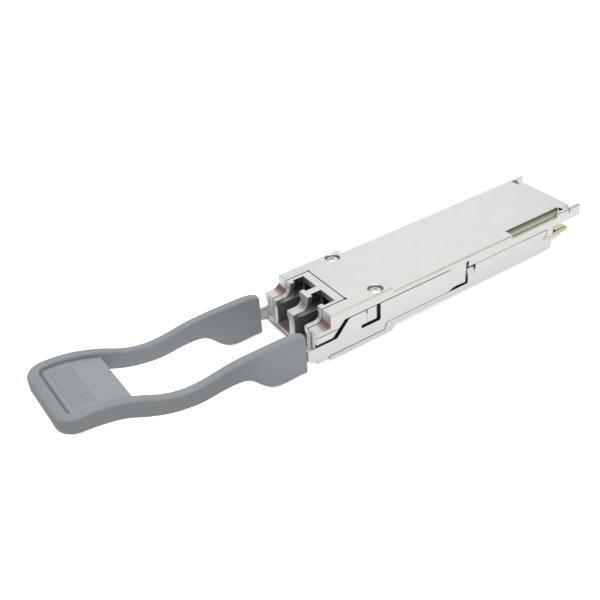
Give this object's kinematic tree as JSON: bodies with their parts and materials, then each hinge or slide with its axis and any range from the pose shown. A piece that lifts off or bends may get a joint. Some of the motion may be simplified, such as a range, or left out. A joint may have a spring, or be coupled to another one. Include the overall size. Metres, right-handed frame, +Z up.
{
  "type": "optical transceiver module",
  "caption": "Slim plug-in fibre-optic transceiver with a duplex port block, sheet-metal release slider, long pull tab and gold card edge.",
  "frame": {"origin": "middle of the cage body's underside, in the plane where the raised head stops against the host cage", "axes": "+Y along the module from the ports to the card edge, +Z up to the heat-sink face, +X to the side with the stepped rabbet"},
  "size_m": [0.0184, 0.1251, 0.0145],
  "materials": {
    "cast_nickel": "satin nickel plate on die casting",
    "port_nickel": "satin nickel plate",
    "screw_nickel": "bright nickel",
    "sheet_nickel": "smooth nickel plate on sheet steel",
    "grip_grey": "fine matt grey moulding",
    "board_green": "glossy solder mask",
    "contact_gold": "hard gold plate",
    "barrel_steel": "turned stainless steel",
    "package_gold": "gold-plated package",
    "lid_steel": "plated lid",
    "zirconia": "polished white ceramic",
    "alumina": "fired ceramic",
    "flex_amber": "amber film",
    "chip_black": "black epoxy",
    "capacitor_tan": "tan ceramic body",
    "resistor_black": "black glazed film",
    "inductor_grey": "grey ferrite body",
    "crystal_can": "metal can",
    "thermal_pad": "soft silicone pad",
    "gasket_grey": "conductive silicone",
    "label_white": "blank white label",
    "shield_steel": "stamped steel",
    "clamp_steel": "machined steel",
    "spring_steel": "drawn spring wire"
  },
  "bodies": {
    "housing": {"bottom_shell": "cast_nickel", "top_cover": "cast_nickel", "lc_receptacle": "port_nickel", "cover_screws": "screw_nickel", "left_seam_gasket": "gasket_grey", "right_seam_gasket": "gasket_grey", "blank_label": "label_white", "shield_plate": "shield_steel", "transmitter_barrel": "barrel_steel", "receiver_barrel": "barrel_steel", "transmitter_split_sleeve": "zirconia", "receiver_split_sleeve": "zirconia", "transmitter_fibre_stub": "zirconia", "receiver_fibre_stub": "zirconia", "transmitter_package": "package_gold", "receiver_package": "package_gold", "transmitter_lid": "lid_steel", "receiver_lid": "lid_steel", "transmitter_feedthrough": "alumina", "receiver_feedthrough": "alumina", "transmitter_flex": "flex_amber", "receiver_flex": "flex_amber", "barrel_saddle": "clamp_steel", "barrel_clamp": "clamp_steel", "circuit_board": "board_green", "edge_contacts": "contact_gold", "laser_driver_chip": "chip_black", "receiver_chip": "chip_black", "microcontroller": "chip_black", "power_converter": "chip_black", "clock_crystal": "crystal_can", "power_inductors": "inductor_grey", "upper_capacitors": "capacitor_tan", "chip_resistors": "resistor_black", "lower_capacitors": "capacitor_tan", "chip_thermal_pads": "thermal_pad", "transmitter_thermal_pad": "thermal_pad", "left_return_spring": "spring_steel", "right_return_spring": "spring_steel"},
    "slider": {"release_slider": "sheet_nickel", "pull_tab": "grip_grey"}
  },
  "joints": [
    {"name": "release_slide", "type": "slide", "parent": "housing", "child": "slider", "axis": [0, -1, 0], "range_m": [0, 0.001], "stiffness_N_per_m": 2308, "springref_m": -0.0008, "deforming": ["left_return_spring", "right_return_spring"]}
  ]
}
